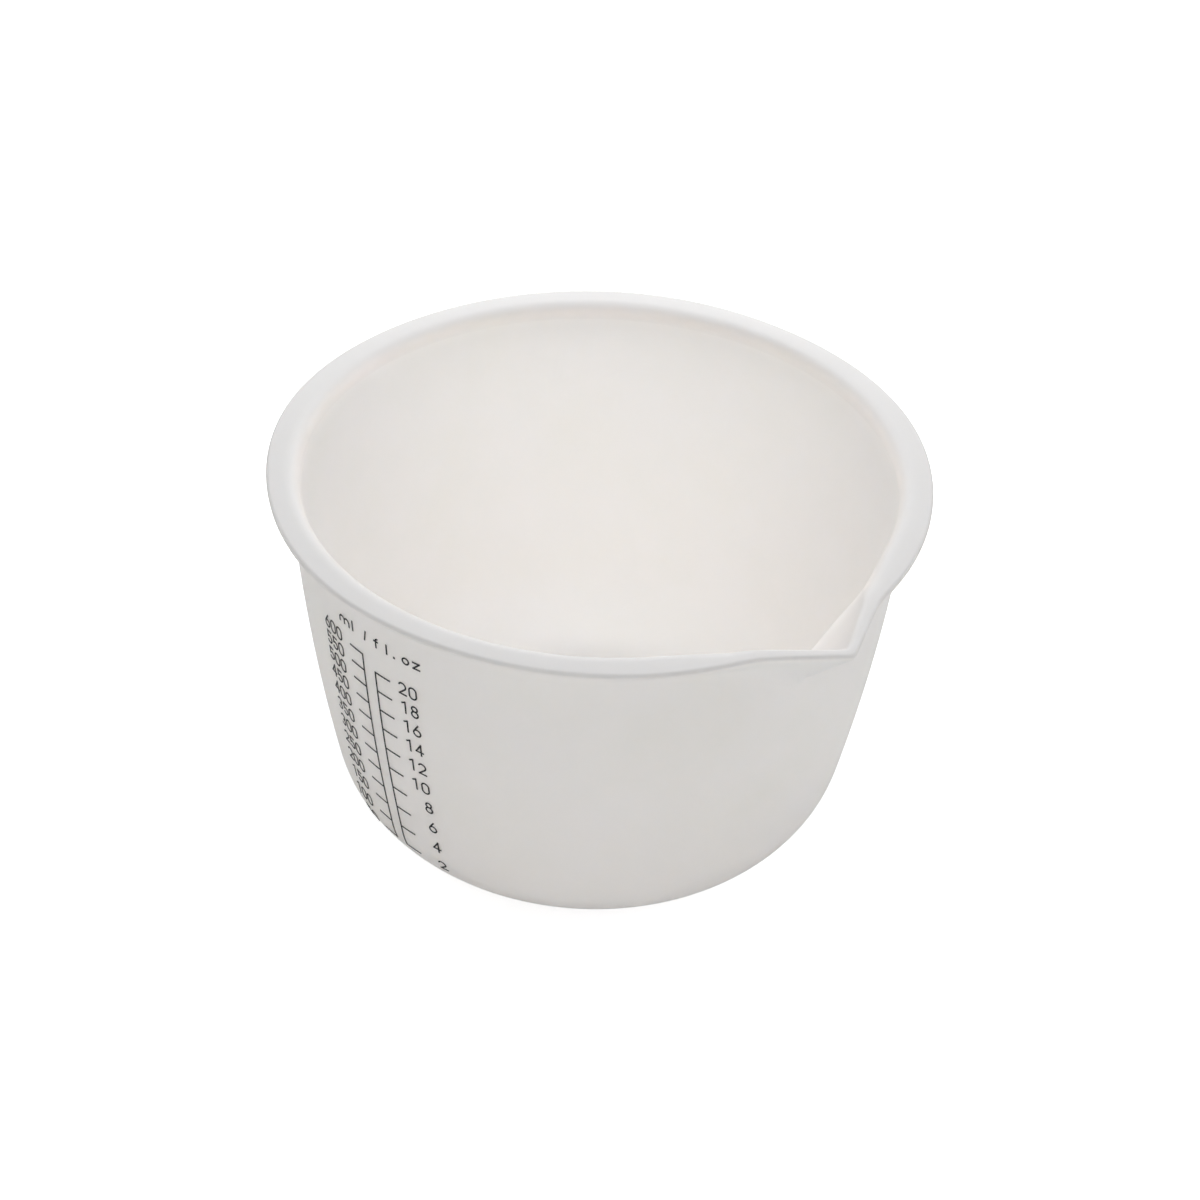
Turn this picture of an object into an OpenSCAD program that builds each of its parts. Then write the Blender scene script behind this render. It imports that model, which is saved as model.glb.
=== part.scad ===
// Resin mixing cup: one soft moulding with a rounded bottom, a flat rim and a V spout,
// and two printed measuring scales on the outside of the wall.
// Origin: centre of the resting face. +X points along the spout, +Z is up.

/* [Bowl] */
// Height from the resting face to the top of the rim
cup_h = 84; // [76:1:96]
// Diameter of the flat face that the cup rests on
foot_d = 67; // [56:1:74]
// Radius of the rounded corner between the resting face and the wall
corner_r = 22; // [16:1:25]
// Radius of the slight outward bow of the wall, seen from the side
bow_r = 450; // [300:10:900]
// Thickness of the wall
wall_t = 2.2; // [1.6:0.1:3]
// Thickness of the floor
floor_t = 2.4; // [1.6:0.1:4]

/* [Rim] */
// Outer diameter of the rim
rim_d = 135; // [120:1:150]
// Width by which the rim stands out from the wall
rim_w = 4.6; // [3.6:0.1:7]
// Thickness of the rim
rim_t = 1.5; // [1.2:0.1:2.6]
// Radius of the fillet between the wall and the underside of the rim
rim_fillet_r = 3; // [0.5:0.5:5]
// Radius of the soft inner edge of the mouth
mouth_edge_r = 3; // [1:0.1:3.2]

/* [Spout] */
// Distance from the edge of the rim to the tip of the spout
spout_l = 8; // [6:0.5:14]
// Half of the angle that the spout takes up on the rim, in degrees
spout_half_a = 15; // [11:1:19]
// Depth below the rim at which the spout's keel runs into the wall
spout_drop = 16; // [11:1:22]
// Height of the upright edge of the spout's lip
spout_edge_h = 1.4; // [1:0.1:2.4]
// Length of the solid lip at the tip of the spout
spout_lip = 2; // [1.6:0.1:3]
// Radius of the spout's tip, seen from above
tip_r = 2; // [1:0.1:3.5]
// Radius of the spout's keel, seen along it
keel_r = 3; // [1:0.1:4]
// Radius of the groove at the bottom of the spout
groove_r = 1; // [0.6:0.1:2]

/* [Printed scale] */
// Direction of the middle of the scale, measured from the spout, in degrees
scale_a = -84.1; // [-180:0.1:-50]
// Angle between the two upright lines, in degrees
spine_split = 3.2; // [2.4:0.1:6]
// Thickness of the ink film
ink_t = 0.12; // [0.08:0.01:0.3]
// Width of the printed lines
line_w = 0.36; // [0.25:0.01:0.6]
// Length of a tick
tick_l = 4.05; // [2:0.05:5]
// How far the middle of a ladder sits above half way, since the cup widens upwards
tick_bow = 1.7; // [0:0.1:2.5]

/* [Millilitre scale] */
// Number of ticks
ml_count = 12; // [6:1:12]
// Volume from one tick to the next
ml_step = 50; // [10:10:80]
// Height of the lowest tick
ml_low = 13.9; // [12:0.1:20]
// Distance from the top of the rim down to the highest tick
ml_top = 17.3; // [17:0.1:26]
// Distance from the ends of the ticks to the numbers
ml_gap = 2.9; // [1:0.1:4]
// Space between two digits of a number
ml_digit_gap = 0.3; // [0.2:0.05:0.8]

/* [Fluid ounce scale] */
// Number of ticks
oz_count = 10; // [5:1:10]
// Volume from one tick to the next
oz_step = 2; // [1:1:6]
// Height of the lowest tick
oz_low = 13.8; // [12:0.1:20]
// Distance from the top of the rim down to the highest tick
oz_top = 19.9; // [17:0.1:26]
// Distance from the ends of the ticks to the numbers
oz_gap = 2.2; // [1:0.1:4]
// Space between two digits of a number
oz_digit_gap = 0.5; // [0.2:0.05:0.8]

/* [Lettering] */
// Width of the strokes of the numbers and unit marks
stroke_w = 0.36; // [0.25:0.01:0.5]
// Width of a digit
digit_w = 2.05; // [1.8:0.05:2.4]
// Height of a digit
digit_h = 3.25; // [2.6:0.05:3.6]
// Distance from the top of the rim down to the foot of the unit marks
mark_top = 13; // [9:0.1:14]
// Height of a small letter such as o
small_h = 1.85; // [1.5:0.05:2.2]
// Height of a tall letter such as l
tall_h = 2.55; // [2.3:0.05:3.2]

/* [Hidden] */

cup_colour = [0.93, 0.92, 0.90];
ink_colour = [0.07, 0.07, 0.08];

// Smoothness of the round surfaces, and number of straight pieces in the section of the wall's
// long bow and of each small round at the rim
$fn = 180;
bow_steps = 12;
round_steps = 8;

// Room by which a cutting shape passes the surface that it cuts, and depth by which a small
// round runs through the wall's surface so that they cross cleanly
over = 1;
sink = 0.05;

// Direction in which the round surfaces begin and end, away from the spout and the scales
seam_a = 137;

rim_r = rim_d / 2;
mouth_r = rim_r - rim_w;
foot_r = foot_d / 2;

// The wall in section is an arc of radius bow_r. It passes through the outside of the mouth
// and runs into the corner's arc without a kink, which fixes its centre.
mouth_point = [mouth_r, cup_h];
corner_c = [foot_r, corner_r];
chord = norm(corner_c - mouth_point);
chord_dir = (corner_c - mouth_point) / chord;
chord_part = (pow(bow_r, 2) - pow(bow_r - corner_r, 2) + pow(chord, 2)) / (2 * chord);
bow_side = sqrt(pow(bow_r, 2) - pow(chord_part, 2));
bow_c = mouth_point + chord_part * chord_dir + bow_side * [chord_dir.y, -chord_dir.x];
blend_dir = (corner_c - bow_c) / norm(corner_c - bow_c);

// Height at which the corner's arc runs into the wall's, on the surface moved inwards by inset
function blend_z(inset) = corner_r + (corner_r - inset) * blend_dir.y;

// Radius of the arc's circle at height z, for a circle in section of centre c and radius r
function arc_x(c, r, z) = c.x + sqrt(pow(r, 2) - pow(z - c.y, 2));

// Radius of the outside of the bowl at height z
function outer_r(z) = z > blend_z(0) ? arc_x(bow_c, bow_r, z) : arc_x(corner_c, corner_r, z);

// Angle, in degrees, that a length l takes up on the outside of the bowl at height z
function wall_angle(l, z) = l / outer_r(z) * 180 / PI;

// The fillet under the rim is no larger than the straight part of the rim's underside
rim_edge_r = rim_t / 2;
rim_under_z = cup_h - rim_t;
fillet_r = min(rim_fillet_r, rim_r - rim_edge_r - outer_r(rim_under_z));
fillet_c = [arc_x(bow_c, bow_r + fillet_r, rim_under_z - fillet_r), rim_under_z - fillet_r];
fillet_foot_a = 180 + asin((fillet_c.y - bow_c.y) / (bow_r + fillet_r));
fillet_foot = fillet_c + (fillet_r + sink) * [cos(fillet_foot_a), sin(fillet_foot_a)];

// Centre of the soft inner edge of the mouth
edge_c = [arc_x(bow_c, bow_r - wall_t + mouth_edge_r, cup_h - mouth_edge_r), cup_h - mouth_edge_r];
edge_foot_a = 180 + asin((edge_c.y - bow_c.y) / (bow_r - wall_t + mouth_edge_r));
edge_foot = edge_c + (mouth_edge_r + sink) * [cos(edge_foot_a), sin(edge_foot_a)];

// The spout's keel runs down from the lip's upright edge and into the wall, spout_drop below
// the rim. Seen from above, its flanks start on the edge of the rim's flat top and touch the
// round tip. The groove inside starts on the inner edge of the mouth, and is parallel to the keel.
spout_reach = rim_r + spout_l;
flank_root = (rim_r - rim_edge_r) * [cos(spout_half_a), sin(spout_half_a)];
tip_c_x = spout_reach - tip_r;
root_to_tip = [tip_c_x - flank_root.x, flank_root.y];
flank_a = atan2(root_to_tip.y, root_to_tip.x) - asin(tip_r / norm(root_to_tip));
flank_end_x = flank_root.x + flank_root.y / tan(flank_a);
edge_low_z = cup_h - spout_edge_h;
keel_foot = [outer_r(cup_h - spout_drop), cup_h - spout_drop];
beak_low_z = keel_foot.y - spout_drop;
keel_a = atan2(edge_low_z - keel_foot.y, spout_reach - keel_foot.x);
groove_root = (mouth_r - wall_t + mouth_edge_r) * [cos(spout_half_a), sin(spout_half_a)];
groove_end_x = spout_reach - spout_lip;
groove_flank_a = atan2(groove_root.y, groove_end_x - groove_root.x);

// The two scales: direction of each upright line, and height of tick i, where the lowest is 0
ml_spine_a = scale_a - spine_split / 2;
oz_spine_a = scale_a + spine_split / 2;
function rise(low, high, t) = low + (high - low) * t + 4 * tick_bow * t * (1 - t);
function ml_z(i) = rise(ml_low, cup_h - ml_top, i / (ml_count - 1));
function oz_z(i) = rise(oz_low, cup_h - oz_top, i / (oz_count - 1));

// Half width and half height of a digit, and of a bowl of the digit 3, on the strokes' middle line
half_w = (digit_w - stroke_w) / 2;
half_h = (digit_h - stroke_w) / 2;
bowl_r = half_h / 2;

// Angle that holds all the print of one scale
print_a = 30;

// The unit marks stand on the line at mark_z. The letters o and z have the half width letter_r,
// the m has arches of radius arch_r and the f a hook of radius hook_r.
mark_z = cup_h - mark_top;
letter_r = (small_h - stroke_w) / 2;
arch_r = 0.78;
hook_r = 0.45;
slash_lean = 0.2;
dot_w = 1.3 * stroke_w;

// Sections

// Region from the axis to the outside of the bowl, with the wall moved inwards by inset,
// from the height bottom up to the height top. The wall's bow is drawn as bow_steps straight
// pieces with their ends on its arc.
module bowl_section(inset, bottom, top) {
    join_z = blend_z(inset);
    step = (top - join_z) / bow_steps;
    polygon([
        [0, join_z],
        for (i = [0 : bow_steps]) [arc_x(bow_c, bow_r - inset, join_z + i * step), join_z + i * step],
        [0, top]
    ]);
    intersection() {
        union() {
            translate(corner_c) circle(corner_r - inset);
            square([foot_r, join_z]);
        }
        translate([0, bottom]) square([rim_r, join_z - bottom]);
    }
}

// Points along an arc about c, after its start at angle a0 and up to its end at angle a1
function arc_points(c, r, a0, a1) =
    [for (i = [1 : round_steps]) let (a = a0 + (a1 - a0) * i / round_steps) c + r * [cos(a), sin(a)]];

// The rim's flat ring with its round edge, and the fillet that carries it on the wall
module rim_section() {
    root_x = mouth_r - wall_t / 2;
    rim_edge_c = [rim_r - rim_edge_r, cup_h - rim_edge_r];
    polygon(concat(
        [[root_x, fillet_foot.y], fillet_foot],
        arc_points(fillet_c, fillet_r, fillet_foot_a, 90),
        [[rim_edge_c.x, rim_under_z]],
        arc_points(rim_edge_c, rim_edge_r, -90, 90),
        [[root_x, cup_h]]
    ));
}

// What is cut away to make the inner edge of the mouth round
module mouth_edge_section() {
    open_x = edge_foot.x - wall_t;
    polygon(concat(
        [[open_x, edge_foot.y], edge_foot],
        arc_points(edge_c, mouth_edge_r, edge_foot_a, 90),
        [[edge_c.x, cup_h + over], [open_x, cup_h + over]]
    ));
}

// The whole moulding but for the spout: floor, corner, wall and rim
module wall_section() {
    difference() {
        union() {
            bowl_section(0, 0, cup_h);
            rim_section();
        }
        bowl_section(wall_t, floor_t, cup_h + over);
        mouth_edge_section();
    }
}

// Full turn of a section, begun on the side away from the spout
module turned() {
    rotate([0, 0, seam_a]) rotate_extrude() children();
}

// Spout

// A V that opens upwards from the origin, with its point rounded to radius r
module rounded_v(half_a, r, depth) {
    touch = r / tan(half_a) * [sin(half_a), cos(half_a)];
    far = depth * [tan(half_a), 1];
    polygon(concat(
        [[-far.x, far.y], [-touch.x, touch.y]],
        arc_points([0, r / sin(half_a)], r, half_a - 180, -half_a),
        [far]
    ));
}

// A V drawn out along the keel. Cut level at height z, its point is at x and its sides run
// back from it at level_a, over the length back.
module keel_prism(x, z, level_a, r, back, up, down) {
    section_a = atan(tan(level_a) / sin(keel_a));
    translate([x, 0, z])
        rotate([0, -keel_a, 0])
            rotate([90, 0, 90])
                translate([0, 0, -down])
                    linear_extrude(up + down) rounded_v(section_a, r, back * sin(keel_a));
}

// Solid beak of the spout: the keel's V inside the upright outline of the lip. It ends within
// the thickness of the wall.
module spout_beak() {
    back = flank_end_x - keel_foot.x + wall_t;
    difference() {
        intersection() {
            keel_prism(flank_end_x, edge_low_z, flank_a, keel_r, back, spout_drop, 2 * spout_drop);
            translate([flank_end_x, 0, beak_low_z])
                rotate(90) linear_extrude(cup_h - beak_low_z) rounded_v(flank_a, tip_r, back);
        }
        translate([0, 0, beak_low_z - over])
            rotate([0, 0, seam_a])
                cylinder(
                    h = cup_h - beak_low_z + 2 * over,
                    r1 = outer_r(beak_low_z) - wall_t / 2,
                    r2 = mouth_r - wall_t / 2
                );
    }
}

// Open channel inside the beak, which comes out above the rim
module spout_channel() {
    back = 2 * (groove_end_x - groove_root.x);
    keel_prism(groove_end_x, cup_h, groove_flank_a, groove_r, back, spout_drop, 2 * spout_drop);
}

module cup_body() {
    color(cup_colour)
    difference() {
        union() {
            turned() wall_section();
            spout_beak();
        }
        spout_channel();
    }
}

// Ink

module ink() {
    color(ink_colour) children();
}

// Film of ink on the wall, from height z0 to z1, over the angle sweep that starts at direction a
module film(z0, z1, a, sweep) {
    rotate([0, 0, a])
        rotate_extrude(angle = sweep)
            intersection() {
                difference() {
                    bowl_section(-ink_t, 0, cup_h);
                    bowl_section(0, 0, cup_h);
                }
                translate([foot_r, z0]) square([rim_r - foot_r, z1 - z0]);
            }
}

// A flat drawing, laid on the wall with its origin at direction a and height z
module on_wall(a, z) {
    rotate([0, 0, a]) translate([foot_r, 0, z]) rotate([90, 0, 90]) linear_extrude(rim_r - foot_r) children();
}

// Film that holds all the print of one scale, kept to what the drawings cover. It starts at
// direction a.
module printed(a) {
    ink()
        intersection() {
            film(ml_low - digit_h, rim_under_z - fillet_r, a, print_a);
            union() children();
        }
}

// Upright line and ticks of one scale. Side is -1 where the ticks point left and 1 where they point right.
module ladder(heights, spine_a, side) {
    low_z = heights[0] - line_w / 2;
    high_z = heights[len(heights) - 1] + line_w / 2;
    printed(spine_a - print_a / 2)
        on_wall(spine_a, 0) {
            translate([-line_w / 2, low_z]) square([line_w, high_z - low_z]);
            for (z = heights)
                translate([side > 0 ? 0 : -tick_l, z - line_w / 2]) square([tick_l, line_w]);
        }
}

module ml_ladder() {
    ladder([for (i = [0 : ml_count - 1]) ml_z(i)], ml_spine_a, -1);
}

module oz_ladder() {
    ladder([for (i = [0 : oz_count - 1]) oz_z(i)], oz_spine_a, 1);
}

// Lettering, drawn flat: x to the right, y up

// Straight stroke from p to q, with its square ends half a stroke further
module bar(p, q) {
    translate(p)
        rotate(atan2(q.y - p.y, q.x - p.x))
            translate([-stroke_w / 2, -stroke_w / 2])
                square([norm(q - p) + stroke_w, stroke_w]);
}

// Round stroke of radius r about c, from angle a0 to a1
module bend(c, r, a0, a1) {
    reach = 2 * (r + stroke_w);
    steps = 5;
    translate(c)
        intersection() {
            ring(r);
            polygon([[0, 0], for (i = [0 : steps]) reach * [
                cos(a0 + (a1 - a0) * i / steps),
                sin(a0 + (a1 - a0) * i / steps)
            ]]);
        }
}

// Closed round stroke of radius r
module ring(r) {
    difference() {
        circle(r + stroke_w / 2);
        circle(r - stroke_w / 2);
    }
}

module digit_0() {
    straight = half_h - half_w;
    bend([0, straight], half_w, 0, 180);
    bend([0, -straight], half_w, 180, 360);
    for (side = [-1, 1])
        bar([side * half_w, -straight], [side * half_w, straight]);
}

module digit_1() {
    stem_x = 0.3 * half_w;
    bar([stem_x, -half_h], [stem_x, half_h]);
    bar([stem_x, half_h], [stem_x - 0.9 * half_w, half_h - 0.5 * half_w]);
}

module digit_2() {
    top = [0, half_h - half_w];
    turn = -38;
    bend(top, half_w, turn, 165);
    bar(top + half_w * [cos(turn), sin(turn)], [-half_w, -half_h]);
    bar([-half_w, -half_h], [half_w, -half_h]);
}

module digit_3() {
    bend([0, bowl_r], bowl_r, -95, 160);
    bend([0, -bowl_r], bowl_r, -160, 95);
}

module digit_4() {
    stem_x = 0.45 * half_w;
    arm_y = -0.4 * half_h;
    bar([stem_x, -half_h], [stem_x, half_h]);
    bar([stem_x, half_h], [-half_w, arm_y]);
    bar([-half_w, arm_y], [half_w, arm_y]);
}

module digit_5() {
    bowl = [0, half_w - half_h];
    start = 132;
    neck = bowl + half_w * [cos(start), sin(start)];
    bend(bowl, half_w, -155, start);
    bar(neck, [-0.7 * half_w, half_h]);
    bar([-0.7 * half_w, half_h], [0.85 * half_w, half_h]);
}

module digit_6() {
    bowl = [0, half_w - half_h];
    tail = [0.35 * half_w, half_h];
    away = tail - bowl;
    touch_a = atan2(away.y, away.x) + acos(half_w / norm(away));
    translate(bowl) ring(half_w);
    bar(tail, bowl + half_w * [cos(touch_a), sin(touch_a)]);
}

module digit_8() {
    low_r = 0.54 * half_h;
    high_r = half_h - low_r;
    translate([0, low_r - half_h]) ring(low_r);
    translate([0, half_h - high_r]) ring(high_r);
}

module digit(d) {
    if (d == 0) digit_0();
    if (d == 1) digit_1();
    if (d == 2) digit_2();
    if (d == 3) digit_3();
    if (d == 4) digit_4();
    if (d == 5) digit_5();
    if (d == 6) digit_6();
    if (d == 8) digit_8();
    // 7 is a bar and a slant, and 9 is a 6 turned over
    if (d == 7) {
        bar([-half_w, half_h], [half_w, half_h]);
        bar([half_w, half_h], [-0.3 * half_w, -half_h]);
    }
    if (d == 9) rotate(180) digit_6();
}

// Digits of a whole number, last digit first
function digits(n) = n < 10 ? [n] : concat([n % 10], digits(floor(n / 10)));

// A number on the wall at height z. Its last digit is centred last_l to the right of direction a.
module number_on_wall(n, a, last_l, z, digit_gap) {
    list = digits(n);
    for (i = [0 : len(list) - 1])
        on_wall(a + wall_angle(last_l - i * (digit_w + digit_gap), z), z) digit(list[i]);
}

module ml_numbers() {
    last_l = -tick_l - ml_gap - digit_w / 2;
    printed(ml_spine_a - print_a)
        for (i = [0 : ml_count - 1])
            number_on_wall(ml_step * (i + 1), ml_spine_a, last_l, ml_z(i), ml_digit_gap);
}

module oz_numbers() {
    last_l = tick_l + oz_gap + 1.5 * digit_w + oz_digit_gap;
    printed(oz_spine_a)
        for (i = [0 : oz_count - 1])
            number_on_wall(oz_step * (i + 1), oz_spine_a, last_l, oz_z(i), oz_digit_gap);
}

module letter_m() {
    for (i = [0 : 2])
        bar([2 * arch_r * i, stroke_w / 2], [2 * arch_r * i, small_h - arch_r]);
    for (i = [0, 1])
        bend([arch_r * (2 * i + 1), small_h - stroke_w / 2 - arch_r], arch_r, 0, 180);
}

module letter_l() {
    bar([0, stroke_w / 2], [0, tall_h - stroke_w / 2]);
}

module letter_f() {
    bar([0, stroke_w / 2], [0, tall_h - stroke_w / 2 - hook_r]);
    bend([hook_r, tall_h - stroke_w / 2 - hook_r], hook_r, 70, 180);
    bar([-hook_r, small_h - stroke_w / 2], [hook_r, small_h - stroke_w / 2]);
}

module letter_o() {
    translate([0, small_h / 2]) ring(letter_r);
}

module letter_z() {
    low = stroke_w / 2;
    high = small_h - stroke_w / 2;
    bar([-letter_r, high], [letter_r, high]);
    bar([letter_r, high], [-letter_r, low]);
    bar([-letter_r, low], [letter_r, low]);
}

module unit_marks() {
    // Distance of each mark from the direction of the millilitre ladder
    m_l = -6.8;
    l_l = -2.5;
    slash_l = 1.4;
    f_l = 4.5;
    second_l_l = 7.4;
    dot_l = 9.3;
    o_l = 12.2;
    z_l = 14.8;
    printed(oz_spine_a - print_a / 2) {
        on_wall(ml_spine_a + wall_angle(m_l, mark_z), mark_z) letter_m();
        on_wall(ml_spine_a + wall_angle(l_l, mark_z), mark_z) letter_l();
        on_wall(ml_spine_a + wall_angle(slash_l, mark_z), mark_z)
            bar([-slash_lean, stroke_w / 2], [slash_lean, tall_h - stroke_w / 2]);
        on_wall(ml_spine_a + wall_angle(f_l, mark_z), mark_z) letter_f();
        on_wall(ml_spine_a + wall_angle(second_l_l, mark_z), mark_z) letter_l();
        on_wall(ml_spine_a + wall_angle(dot_l, mark_z), mark_z)
            translate([0, dot_w / 2]) square(dot_w, center = true);
        on_wall(ml_spine_a + wall_angle(o_l, mark_z), mark_z) letter_o();
        on_wall(ml_spine_a + wall_angle(z_l, mark_z), mark_z) letter_z();
    }
}

cup_body();
ml_ladder();
ml_numbers();
oz_ladder();
oz_numbers();
unit_marks();
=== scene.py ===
"""Looks of a soft, milky silicone mixing cup with a V spout and a printed measuring scale.

All lengths are in millimetres up to the mesh, where they become metres. Depths and distances
in the materials are in metres. The origin is the centre of the resting face, +X points along
the spout and +Z is up.
"""

import math

import bpy
import numpy as np
from mathutils import Matrix, Vector


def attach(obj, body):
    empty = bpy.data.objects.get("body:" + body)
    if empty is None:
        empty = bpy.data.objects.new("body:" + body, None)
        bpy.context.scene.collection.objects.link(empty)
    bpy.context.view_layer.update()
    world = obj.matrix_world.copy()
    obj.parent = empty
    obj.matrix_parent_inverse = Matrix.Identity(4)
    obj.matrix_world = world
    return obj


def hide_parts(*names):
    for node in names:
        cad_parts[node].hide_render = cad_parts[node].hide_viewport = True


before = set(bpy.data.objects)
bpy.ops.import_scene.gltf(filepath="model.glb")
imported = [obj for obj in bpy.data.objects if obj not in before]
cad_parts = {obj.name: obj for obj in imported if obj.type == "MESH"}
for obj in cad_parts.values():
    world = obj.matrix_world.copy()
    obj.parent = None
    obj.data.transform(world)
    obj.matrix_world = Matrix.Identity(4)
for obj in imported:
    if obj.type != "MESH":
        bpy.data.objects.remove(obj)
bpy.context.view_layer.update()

MM = 0.001

# Bowl
CUP_H = 84.0
FOOT_R = 33.5
CORNER_R = 22.0
BOW_R = 450.0
WALL_T = 2.2
FLOOR_T = 2.4

# Rim
RIM_R = 67.5
RIM_W = 4.6
RIM_T = 1.5
RIM_ROUND = 0.72
RIM_FILLET = 3.0
MOUTH_ROUND = 3.0
ROOT_ROUND = 2.4

# Spout: where its outer and inner V would come to a point, where they really end, and the
# angle between each flank and the spout's axis
LIP_POINT_X = 75.92
LIP_END_X = 75.5
LIP_FLANK_A = math.radians(56.5)
GROOVE_POINT_X = 73.9
GROOVE_END_X = 73.4
GROOVE_FLANK_A = math.radians(54.0)
KEEL_A = math.radians(46.0)
LIP_EDGE_H = 1.4
SPOUT_HALF_A = math.radians(15.0)

# Shares of the spout's half angle between which the spout turns into plain rim
SPOUT_EASE = (0.75, 1.15)

# How much smaller the rounds of the rim's edge and of the mouth are in the spout
SPOUT_EDGE_LESS = 0.1
SPOUT_MOUTH_LESS = 2.1

# Widths over which the spout's flanks run into the rim, seen from above and from the side
PLAN_BLEND = 0.9
SIDE_BLEND = 1.4

# Height over which the wall is taken as straight where the spout's planes meet it, least depth
# at which a section's inner top meets the wall, and height of wall that gives a round its side
STRAIGHT_H = 12.0
INNER_DROP = 6.5
SIDE_H = 6.0

# Height above the wall up to which the sides of the ink's films are pale, and the height over
# which they then turn black
PRINT_LIFT = 0.07
PRINT_EASE = 0.01

# How far the soft rim is out of true: waves of its edge, as the number of waves round the rim,
# depth and start, and the tilt of its top, as the drop at its lowest point, which is also the
# rise opposite, and the angle of that point from the spout towards -Y
RIM_WAVES = [
    (1, 0.13, 0.29),
    (2, 0.10, 0.92),
    (3, 0.13, 1.61),
    (5, 0.13, 2.07),
    (6, 0.12, -0.70),
    (7, 0.07, -0.24),
]
RIM_TILT = 0.2
RIM_TILT_A = math.radians(15.0)

# Distances from the wall between which the waves set in, and height over which the tilt does
WAVE_FROM = 0.5
WAVE_TO = 4.0
TILT_H = 7.0

# Rows of a section, from the resting face on, over which the rim top's painted shade (a darker
# grey that keeps the flat top from looking brighter than the walls) sets in at its outer edge
# and fades at the mouth, with the rows that the spout's groove adds
TOP_EDGE_ROWS = (73, 83)
MOUTH_ROWS = (92, 101)
GROOVE_ROWS = 14

# Points along each stretch of a section
FLAT_STEPS = 6
CORNER_STEPS = 23
WALL_STEPS = 27
FILLET_STEPS = 10
UNDER_STEPS = 6
EDGE_STEPS = 7
UPRIGHT_STEPS = 2
TOP_STEPS = 6
ROUND_STEPS = 8

# Directions of the sections: half of the angle that is finely divided across the spout, in
# degrees, its points, and the points of the rest
FINE_A = 20
FINE_STEPS = 97
COARSE_STEPS = 221


def put_mesh(name, points, faces, smooth=True):
    """Object from points in millimetres and a list of face tuples."""
    mesh = bpy.data.meshes.new(name)
    mesh.from_pydata((points * MM).tolist(), [], faces)
    mesh.validate()
    mesh.polygons.foreach_set("use_smooth", [smooth] * len(mesh.polygons))
    mesh.update()
    piece = bpy.data.objects.new(name, mesh)
    bpy.context.scene.collection.objects.link(piece)
    return piece


# Section of the bowl


def bow_centre():
    """Centre of the wall's long arc, which passes through the outside of the mouth and
    touches the corner's arc from outside."""
    mouth = np.array([RIM_R - RIM_W, CUP_H])
    corner = np.array([FOOT_R, CORNER_R])
    chord = np.linalg.norm(corner - mouth)
    along = (corner - mouth) / chord
    part = (BOW_R**2 - (BOW_R - CORNER_R) ** 2 + chord**2) / (2 * chord)
    side = math.sqrt(BOW_R**2 - part**2)
    return mouth + part * along + side * np.array([along[1], -along[0]])


BOW_C = bow_centre()
BLEND_A = math.atan2(CORNER_R - BOW_C[1], FOOT_R - BOW_C[0])


def wall_r(z, inset=0.0):
    """Radius of the wall at height z, on the surface that lies inset inside the outside."""
    return BOW_C[0] + np.sqrt((BOW_R - inset) ** 2 - (z - BOW_C[1]) ** 2)


def soft_max(a, b, width):
    """The larger of a and b, with the step between them rounded over width."""
    return 0.5 * (a + b + np.sqrt((a - b) ** 2 + width**2))


def soft_min(a, b, width):
    """The smaller of a and b, with the step between them rounded over width."""
    return -soft_max(-a, -b, width)


def smooth_step(low, high, x):
    """0 below low, 1 above high, with a cubic ease between."""
    t = np.clip((x - low) / (high - low), 0.0, 1.0)
    return t * t * (3 - 2 * t)


def v_spread(theta, flank_a, point_x, end_x):
    """Cosine plus sine over tan of the flank's angle, by which the point of a V is divided to
    give its radius in direction theta. The sine is rounded so that the V ends at end_x, and past
    the place where a flank is nearest to the axis it keeps that distance."""
    angle = np.minimum(np.abs(theta), math.pi / 2 - flank_a)
    soft = (point_x / end_x - 1) * math.tan(flank_a)
    return np.cos(angle) + np.sqrt(np.sin(angle) ** 2 + soft**2) / math.tan(flank_a)


def spout_share(theta):
    """1 in the directions of the spout, 0 away from it, with a smooth step at its sides."""
    start, end = SPOUT_EASE
    return 1 - smooth_step(SPOUT_HALF_A * start, SPOUT_HALF_A * end, np.abs(theta))


def line(p, q, steps):
    """Points from p up to but not including q, for a whole row of sections at once."""
    t = np.arange(steps)[None, :, None] / steps
    return p[:, None, :] * (1 - t) + q[:, None, :] * t


def rounded(before, corner, after, cut, steps):
    """Parabola that cuts a corner off, from the point cut before it to the point cut after it.
    Returns its points, without the last, and both ends."""
    back = before - corner
    ahead = after - corner
    start = corner + back / np.linalg.norm(back, axis=1)[:, None] * cut[:, None]
    end = corner + ahead / np.linalg.norm(ahead, axis=1)[:, None] * cut[:, None]
    t = np.arange(steps)[None, :, None] / steps
    curve = (1 - t) ** 2 * start[:, None] + 2 * t * (1 - t) * corner[:, None] + t**2 * end[:, None]
    return curve, start, end


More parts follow.
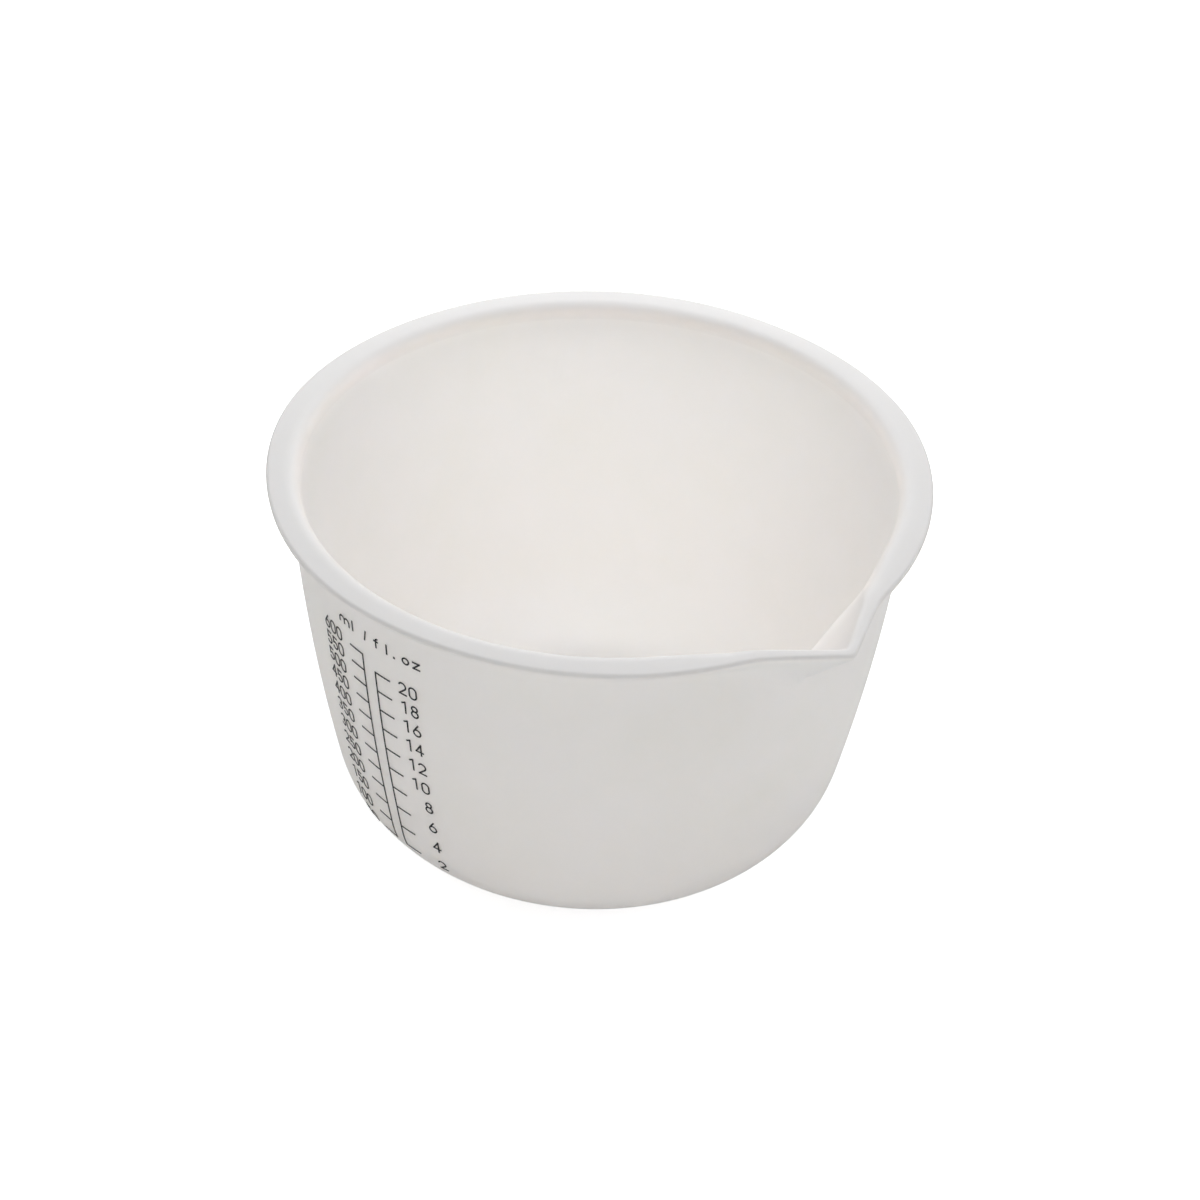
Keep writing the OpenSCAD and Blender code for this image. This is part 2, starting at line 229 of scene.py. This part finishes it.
def cup_sections(theta):
    """Closed sections of the cup, one for each direction theta, as radius and height.

    Each goes from the middle of the resting face round the corner, up the wall, out along the
    rim's underside or the spout's keel, round the lip, in over the top, down the spout's groove
    or the wall, and round the inner corner to the middle of the floor.
    """
    n = len(theta)
    in_spout = spout_share(theta)

    def point(r, z):
        return np.stack([np.broadcast_to(r, n), np.broadcast_to(z, n)], axis=1).astype(float)

    under_z = CUP_H - RIM_T
    slope = (wall_r(CUP_H) - wall_r(CUP_H - STRAIGHT_H)) / STRAIGHT_H
    keel_slope = math.tan(KEEL_A)

    lip_spread = v_spread(theta, LIP_FLANK_A, LIP_POINT_X, LIP_END_X)
    lip_r = soft_max(LIP_POINT_X / lip_spread, RIM_R, PLAN_BLEND)
    lip_r = lip_r - (lip_r.min() - RIM_R)
    lip_low_z = under_z + (RIM_T - LIP_EDGE_H) * in_spout
    lip_over = LIP_POINT_X / lip_spread - wall_r(CUP_H) + slope * LIP_EDGE_H
    keel_fall = lip_over / (1 / lip_spread / keel_slope - slope)
    keel_z = soft_min(CUP_H - LIP_EDGE_H - keel_fall, under_z, SIDE_BLEND)

    groove_spread = v_spread(theta, GROOVE_FLANK_A, GROOVE_POINT_X, GROOVE_END_X)
    inner_top_r = wall_r(CUP_H, WALL_T)
    groove_r = soft_max(GROOVE_POINT_X / groove_spread, inner_top_r, PLAN_BLEND)
    groove_r = groove_r - (groove_r.min() - inner_top_r)
    groove_over = GROOVE_POINT_X / groove_spread - inner_top_r
    groove_fall = groove_over / (1 / groove_spread / keel_slope - slope)
    groove_z = soft_min(CUP_H - groove_fall, CUP_H - INNER_DROP, SIDE_BLEND)

    wall_top = point(wall_r(keel_z), keel_z)
    wall_before = point(wall_r(keel_z - SIDE_H), keel_z - SIDE_H)
    lip_low = point(lip_r, lip_low_z)
    lip_top = point(lip_r, CUP_H)
    mouth = point(groove_r, CUP_H)
    inner = point(wall_r(groove_z, WALL_T), groove_z)
    inner_after = point(wall_r(groove_z - SIDE_H, WALL_T), groove_z - SIDE_H)

    fillet_cut = np.full(n, RIM_FILLET)
    edge_cut = RIM_ROUND - SPOUT_EDGE_LESS * in_spout
    mouth_cut = MOUTH_ROUND - SPOUT_MOUTH_LESS * in_spout
    root_cut = np.full(n, ROOT_ROUND)

    fillet, fillet_start, fillet_end = rounded(
        wall_before, wall_top, lip_low, fillet_cut, FILLET_STEPS
    )
    low_round, low_start, low_end = rounded(wall_top, lip_low, lip_top, edge_cut, EDGE_STEPS)
    top_round, top_start, top_end = rounded(lip_low, lip_top, mouth, edge_cut, EDGE_STEPS)
    mouth_round, mouth_start, mouth_end = rounded(lip_top, mouth, inner, mouth_cut, ROUND_STEPS)
    root_round, root_start, root_end = rounded(mouth, inner, inner_after, root_cut, ROUND_STEPS)

    # Resting face and corner, without the middle point
    r = np.linspace(FOOT_R / FLAT_STEPS, FOOT_R, FLAT_STEPS)
    base = np.stack([r, 0 * r], axis=1)
    a = np.linspace(-math.pi / 2, BLEND_A, CORNER_STEPS)[1:]
    corner = np.stack([FOOT_R + CORNER_R * np.cos(a), CORNER_R + CORNER_R * np.sin(a)], axis=1)
    t = np.linspace(0, 1, WALL_STEPS)[1:-1]
    z = corner[-1, 1] + (fillet_start[:, 1:2] - corner[-1, 1]) * t
    wall = np.stack([wall_r(z), z], axis=2)

    # Inner corner and floor
    in_r = CORNER_R - WALL_T
    in_h = CORNER_R - FLOOR_T
    a = np.linspace(BLEND_A, -math.pi / 2, CORNER_STEPS)
    in_corner = np.stack([FOOT_R + in_r * np.cos(a), CORNER_R + in_h * np.sin(a)], axis=1)
    t = np.linspace(0, 1, WALL_STEPS)[:-1]
    in_wall_z = root_end[:, 1:2] + (in_corner[0, 1] - root_end[:, 1:2]) * t
    in_wall = np.stack([wall_r(in_wall_z, WALL_T), in_wall_z], axis=2)
    r = np.linspace(FOOT_R, FOOT_R / FLAT_STEPS, FLAT_STEPS)[1:]
    floor = np.stack([r, FLOOR_T + 0 * r], axis=1)

    def all_round(rows):
        return np.broadcast_to(rows[None], (n,) + rows.shape)

    return np.concatenate(
        [
            all_round(base),
            all_round(corner),
            wall,
            fillet,
            line(fillet_end, low_start, UNDER_STEPS),
            low_round,
            line(low_end, top_start, UPRIGHT_STEPS),
            top_round,
            line(top_end, mouth_start, TOP_STEPS),
            mouth_round,
            line(mouth_end, root_start, ROUND_STEPS),
            root_round,
            in_wall,
            all_round(in_corner),
            all_round(floor),
        ],
        axis=1,
    )


def cup_directions():
    """Directions round the cup, closest together across the spout."""
    spout = np.linspace(-FINE_A, FINE_A, FINE_STEPS)
    rest = np.linspace(FINE_A, 360 - FINE_A, COARSE_STEPS)[1:-1]
    return np.radians(np.concatenate([spout, rest]))


def build_cup():
    """The moulding, as sections turned about the axis and closed by one point below and one
    point on the floor. The soft rim is out of true: its edge wanders in and out as a sum of
    slow waves, and its top tilts by a fifth of a millimetre, down on the spout's side."""
    theta = cup_directions()
    around = (theta + math.pi) % (2 * math.pi) - math.pi
    sections = cup_sections(around)
    r = sections[:, :, 0]
    z = sections[:, :, 1]
    wave = sum(depth * np.sin(turns * theta + start) for turns, depth, start in RIM_WAVES)
    tilt = -RIM_TILT * np.cos(theta + RIM_TILT_A)
    r = r + wave[:, None] * smooth_step(WAVE_FROM, WAVE_TO, r - wall_r(z))
    z = z + tilt[:, None] * smooth_step(CUP_H - TILT_H, CUP_H, z)
    columns, rows = r.shape
    x = r * np.cos(theta)[:, None]
    y = r * np.sin(theta)[:, None]
    points = np.concatenate(
        [np.stack([x, y, z], axis=2).reshape(-1, 3), [[0, 0, 0], [0, 0, FLOOR_T]]]
    )
    i = np.arange(columns)
    j = np.arange(rows - 1)
    first, second = np.meshgrid(i, j, indexing="ij")
    after = (first + 1) % columns
    quads = np.stack(
        [
            first * rows + second,
            after * rows + second,
            after * rows + second + 1,
            first * rows + second + 1,
        ],
        axis=2,
    ).reshape(-1, 4)
    below = columns * rows
    above = below + 1
    fan = np.stack([np.full(columns, below), (i + 1) % columns * rows, i * rows], axis=1)
    disc = np.stack(
        [np.full(columns, above), i * rows + rows - 1, (i + 1) % columns * rows + rows - 1], axis=1
    )
    faces = quads.tolist() + fan.tolist() + disc.tolist()
    cup = put_mesh("silicone_cup", points, faces)

    # How far each point is on the rim's top, which goes from the outer edge to the mouth's round.
    # This share greys the rim's top as painted shade and makes light spread less far under it
    row = np.arange(rows)[None, :]
    fade_end = MOUTH_ROWS[1] + GROOVE_ROWS * spout_share(around)[:, None]
    top = smooth_step(*TOP_EDGE_ROWS, row) * (1 - smooth_step(MOUTH_ROWS[0], fade_end, row))
    rim = cup.data.attributes.new("rim_shade_and_depth", "FLOAT", "POINT")
    rim.data.foreach_set("value", np.append(top.reshape(-1), [0.0, 0.0]).astype(np.float32))
    return cup


# Materials

# Silicone: the two colours of its faint clouds, the rim top's grey, which is painted shade that
# keeps the flat top from looking brighter than the walls under the lamps, and how far light goes
# under the walls and under the rim's top
CLOUD_YELLOW = (0.94, 0.912, 0.86, 1)
CLOUD_PINK = (0.98, 0.92, 0.905, 1)
RIM_SHADE_GREY = (0.645, 0.638, 0.636, 1)
WALL_DEPTH = 0.008
RIM_DEPTH = 0.0015

# Ink: its full and thin colour, and the pale sides of its films
INK_FULL = (0.006, 0.006, 0.007, 1)
INK_THIN = (0.035, 0.035, 0.038, 1)
FILM_SIDE = (0.66, 0.64, 0.62, 1)

# Sockets of the Mix node, which go by number: both inputs and the result, for colours and for
# single values
COLOUR_A = 6
COLOUR_B = 7
COLOUR_MIXED = 2
VALUE_A = 2
VALUE_B = 3
VALUE_MIXED = 0


class Nodes:
    """Short hand for the nodes of one material."""

    def __init__(self, name):
        self.material = bpy.data.materials.new(name)
        self.material.use_nodes = True
        self.tree = self.material.node_tree
        self.tree.nodes.clear()
        self.out = self.add("ShaderNodeOutputMaterial")

    def add(self, kind, inputs=None, **settings):
        node = self.tree.nodes.new(kind)
        for key, value in settings.items():
            setattr(node, key, value)
        for key, value in (inputs or {}).items():
            if isinstance(value, bpy.types.NodeSocket):
                self.tree.links.new(value, node.inputs[key])
            else:
                node.inputs[key].default_value = value
        return node

    def link(self, source, target):
        self.tree.links.new(source, target)


def silicone_material():
    """Milky silicone: pale, with light spread far under its surface, less so on the rim's top,
    a satin sheen, faint clouds in the colour and a very fine unevenness of the surface. The rim's
    top is greyed as painted shade, so that it doesn't look brighter than the walls under the
    lamps."""
    n = Nodes("milky_silicone")
    place = n.add("ShaderNodeTexCoord").outputs["Object"]
    cloud = n.add(
        "ShaderNodeTexNoise",
        {"Vector": place, "Scale": 38.0, "Detail": 3.0, "Roughness": 0.5},
    )
    clouded = n.add("ShaderNodeValToRGB", {"Fac": cloud.outputs["Fac"]})
    clouded.color_ramp.elements[0].position = 0.3
    clouded.color_ramp.elements[0].color = CLOUD_YELLOW
    clouded.color_ramp.elements[1].position = 0.7
    clouded.color_ramp.elements[1].color = CLOUD_PINK
    # Painted shade: the rim's top is mixed towards a darker grey, so that the flat top doesn't
    # come out brighter than the walls under the lamp above. The same share makes light spread less
    # far.
    rim_shade_and_depth = n.add("ShaderNodeAttribute", attribute_name="rim_shade_and_depth").outputs["Fac"]
    colour = n.add(
        "ShaderNodeMix",
        {"Factor": rim_shade_and_depth, COLOUR_A: clouded.outputs["Color"], COLOUR_B: RIM_SHADE_GREY},
        data_type="RGBA",
    )
    fine = n.add("ShaderNodeTexNoise", {"Vector": place, "Scale": 260.0, "Detail": 2.0})
    broad = n.add("ShaderNodeTexNoise", {"Vector": place, "Scale": 60.0, "Detail": 2.0})
    broad_bump = n.add(
        "ShaderNodeBump",
        {"Height": broad.outputs["Fac"], "Strength": 0.25, "Distance": 0.0006},
    )
    bump = n.add(
        "ShaderNodeBump",
        {
            "Height": fine.outputs["Fac"],
            "Strength": 0.2,
            "Distance": 0.0001,
            "Normal": broad_bump.outputs["Normal"],
        },
    )
    sheen = n.add(
        "ShaderNodeMapRange",
        {"Value": cloud.outputs["Fac"], "To Min": 0.42, "To Max": 0.5},
    )
    depth = n.add(
        "ShaderNodeMapRange",
        {"Value": rim_shade_and_depth, "To Min": WALL_DEPTH, "To Max": RIM_DEPTH},
    )
    shader = n.add(
        "ShaderNodeBsdfPrincipled",
        {
            "Base Color": colour.outputs[COLOUR_MIXED],
            "Roughness": sheen.outputs["Result"],
            "Normal": bump.outputs["Normal"],
            "IOR": 1.41,
            "Subsurface Weight": 1.0,
            "Subsurface Radius": (1.0, 0.95, 0.9),
            "Subsurface Scale": depth.outputs["Result"],
        },
    )
    n.link(shader.outputs["BSDF"], n.out.inputs["Surface"])
    return n.material


def ink_material():
    """Black printed ink, matt, a little thin in places. The real print is thinner than its
    drawn films, so their sides are pale up to PRINT_LIFT above the wall. The height above the
    wall is the distance from the centre of the wall's long arc, or of the corner's arc below
    their meeting point, less the radius of that arc."""
    n = Nodes("black_ink")
    place = n.add("ShaderNodeTexCoord").outputs["Object"]
    axes = n.add("ShaderNodeSeparateXYZ", {"Vector": place})
    flat = n.add("ShaderNodeCombineXYZ", {"X": axes.outputs["X"], "Y": axes.outputs["Y"]})
    reach = n.add("ShaderNodeVectorMath", {0: flat.outputs["Vector"]}, operation="LENGTH")
    section = n.add("ShaderNodeCombineXYZ", {"X": reach.outputs["Value"], "Y": axes.outputs["Z"]})

    def height_over(centre, radius):
        middle = (centre[0] * MM, centre[1] * MM, 0)
        away = n.add(
            "ShaderNodeVectorMath",
            {0: section.outputs["Vector"], 1: middle},
            operation="DISTANCE",
        )
        over = n.add(
            "ShaderNodeMath",
            {0: away.outputs["Value"], 1: radius * MM},
            operation="SUBTRACT",
        )
        return over.outputs["Value"]

    blend_z = (CORNER_R + CORNER_R * math.sin(BLEND_A)) * MM
    on_wall = n.add("ShaderNodeMath", {0: axes.outputs["Z"], 1: blend_z}, operation="GREATER_THAN")
    height = n.add(
        "ShaderNodeMix",
        {
            "Factor": on_wall.outputs["Value"],
            VALUE_A: height_over((FOOT_R, CORNER_R), CORNER_R),
            VALUE_B: height_over(BOW_C, BOW_R),
        },
    )
    printed = n.add(
        "ShaderNodeMapRange",
        {
            "Value": height.outputs[VALUE_MIXED],
            "From Min": PRINT_LIFT * MM,
            "From Max": (PRINT_LIFT + PRINT_EASE) * MM,
        },
    )
    thin = n.add("ShaderNodeTexNoise", {"Vector": place, "Scale": 900.0, "Detail": 3.0})
    colour = n.add("ShaderNodeValToRGB", {"Fac": thin.outputs["Fac"]})
    colour.color_ramp.elements[0].position = 0.45
    colour.color_ramp.elements[0].color = INK_FULL
    colour.color_ramp.elements[1].position = 0.8
    colour.color_ramp.elements[1].color = INK_THIN
    shown = n.add(
        "ShaderNodeMix",
        {
            "Factor": printed.outputs["Result"],
            COLOUR_A: FILM_SIDE,
            COLOUR_B: colour.outputs["Color"],
        },
        data_type="RGBA",
    )
    bump = n.add(
        "ShaderNodeBump",
        {"Height": thin.outputs["Fac"], "Strength": 0.2, "Distance": 0.00003},
    )
    shader = n.add(
        "ShaderNodeBsdfPrincipled",
        {
            "Base Color": shown.outputs[COLOUR_MIXED],
            "Roughness": 0.55,
            "Specular IOR Level": 0.3,
            "Normal": bump.outputs["Normal"],
        },
    )
    n.link(shader.outputs["BSDF"], n.out.inputs["Surface"])
    return n.material


# Stage, light and camera

# Floor: half its side, its colour, and the glow that the camera sees on top of it
FLOOR_HALF = 700.0
FLOOR_GREY = (0.8, 0.8, 0.8, 1)
FLOOR_GLOW = 0.76

WHITE = (1, 1, 1, 1)

# Lamps: name, place, side and power in watts
LAMPS = [
    ("lamp_over", (0, 0, 940), 600, 3.9),
    ("lamp_front", (588, -511, 492), 600, 2.1),
    ("lamp_right", (452, 520, 620), 600, 0.95),
    ("lamp_back", (-502, 437, 258), 500, 0.8),
    ("lamp_back_left", (-582, -323, 258), 500, 0.9),
    ("lamp_back_right", (239, 622, 258), 500, 0.9),
    ("lamp_back_near", (-176, 153, 275), 250, 0.46),
]

# Camera: its direction from the spout, its height angle, its tilt about the line of sight, its
# distance from the middle of the cup, its film's width and focal length, the shift of the
# picture as shares of its width, and how far it sees in metres
CAMERA_TURN = math.radians(-39.8)
CAMERA_RISE = math.radians(38.2)
CAMERA_TILT = math.radians(-2.43)
CAMERA_AWAY = 552.4
FILM_W = 36
FOCAL_L = 78
SHIFT_X = 0.0054
SHIFT_Y = 0.0220
SIGHT_END = 20


def build_floor():
    """Pale floor, which throws light back at the cup. The camera sees it brightened to white, so
    that hardly any shadow shows, as in the photograph."""
    half = FLOOR_HALF
    corners = np.array([[-half, -half, 0], [half, -half, 0], [half, half, 0], [-half, half, 0]])
    floor = put_mesh("floor", corners, [(0, 1, 2, 3)], smooth=False)
    n = Nodes("pale_floor")
    plain = n.add("ShaderNodeBsdfDiffuse", {"Color": FLOOR_GREY})
    glow = n.add("ShaderNodeEmission", {"Color": WHITE, "Strength": FLOOR_GLOW})
    bright = n.add("ShaderNodeAddShader")
    n.link(plain.outputs["BSDF"], bright.inputs[0])
    n.link(glow.outputs["Emission"], bright.inputs[1])
    path = n.add("ShaderNodeLightPath")
    mix = n.add("ShaderNodeMixShader", {"Fac": path.outputs["Is Camera Ray"]})
    n.link(plain.outputs["BSDF"], mix.inputs[1])
    n.link(bright.outputs["Shader"], mix.inputs[2])
    n.link(mix.outputs["Shader"], n.out.inputs["Surface"])
    floor.data.materials.append(n.material)


def build_world():
    """Even surroundings, white to the camera and in reflections. The lamps give the light."""
    world = bpy.data.worlds.new("studio")
    world.use_nodes = True
    tree = world.node_tree
    tree.nodes.clear()
    path = tree.nodes.new("ShaderNodeLightPath")
    seen = tree.nodes.new("ShaderNodeMath")
    seen.operation = "MAXIMUM"
    tree.links.new(path.outputs["Is Camera Ray"], seen.inputs[0])
    tree.links.new(path.outputs["Is Glossy Ray"], seen.inputs[1])
    back = tree.nodes.new("ShaderNodeBackground")
    back.inputs["Color"].default_value = WHITE
    tree.links.new(seen.outputs["Value"], back.inputs["Strength"])
    out = tree.nodes.new("ShaderNodeOutputWorld")
    tree.links.new(back.outputs["Background"], out.inputs["Surface"])
    bpy.context.scene.world = world


def add_lamp(name, place_mm, size_mm, power):
    """Square lamp that faces the middle of the cup."""
    light = bpy.data.lights.new(name, "AREA")
    light.size = size_mm * MM
    light.energy = power
    lamp = bpy.data.objects.new(name, light)
    place = Vector(place_mm) * MM
    aim = Vector((0, 0, CUP_H / 2)) * MM - place
    turned = aim.to_track_quat("-Z", "Y").to_matrix().to_4x4()
    lamp.matrix_world = Matrix.Translation(place) @ turned
    bpy.context.scene.collection.objects.link(lamp)


def build_camera():
    """Camera at the photograph's place, aimed at the middle of the cup, with its level line
    turned by the tilt."""
    aim = Vector((0, 0, CUP_H / 2))
    turn_cos = math.cos(CAMERA_TURN)
    turn_sin = math.sin(CAMERA_TURN)
    level = math.cos(CAMERA_RISE)
    away = Vector((turn_cos * level, turn_sin * level, math.sin(CAMERA_RISE)))
    right = Vector((-turn_sin, turn_cos, 0))
    up = away.cross(right)
    across = math.cos(CAMERA_TILT) * right - math.sin(CAMERA_TILT) * up
    upward = math.sin(CAMERA_TILT) * right + math.cos(CAMERA_TILT) * up
    lens = bpy.data.cameras.new("camera")
    lens.sensor_width = FILM_W
    lens.lens = FOCAL_L
    lens.shift_x = SHIFT_X
    lens.shift_y = SHIFT_Y
    lens.clip_end = SIGHT_END
    camera = bpy.data.objects.new("camera", lens)
    turned = Matrix((across, upward, away)).transposed().to_4x4()
    camera.matrix_world = Matrix.Translation((aim + away * CAMERA_AWAY) * MM) @ turned
    bpy.context.scene.collection.objects.link(camera)
    bpy.context.scene.camera = camera


build_camera()
build_floor()
build_world()
for name, place_mm, size_mm, power in LAMPS:
    add_lamp(name, place_mm, size_mm, power)

cup = build_cup()
cup.data.materials.append(silicone_material())
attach(cup, "root")
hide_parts("cup_body")

ink = ink_material()
for name in ("ml_ladder", "ml_numbers", "oz_ladder", "oz_numbers", "unit_marks"):
    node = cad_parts[name]
    for k in range(len(node.material_slots)):
        node.material_slots[k].material = ink

bpy.context.scene.view_settings.view_transform = "Standard"
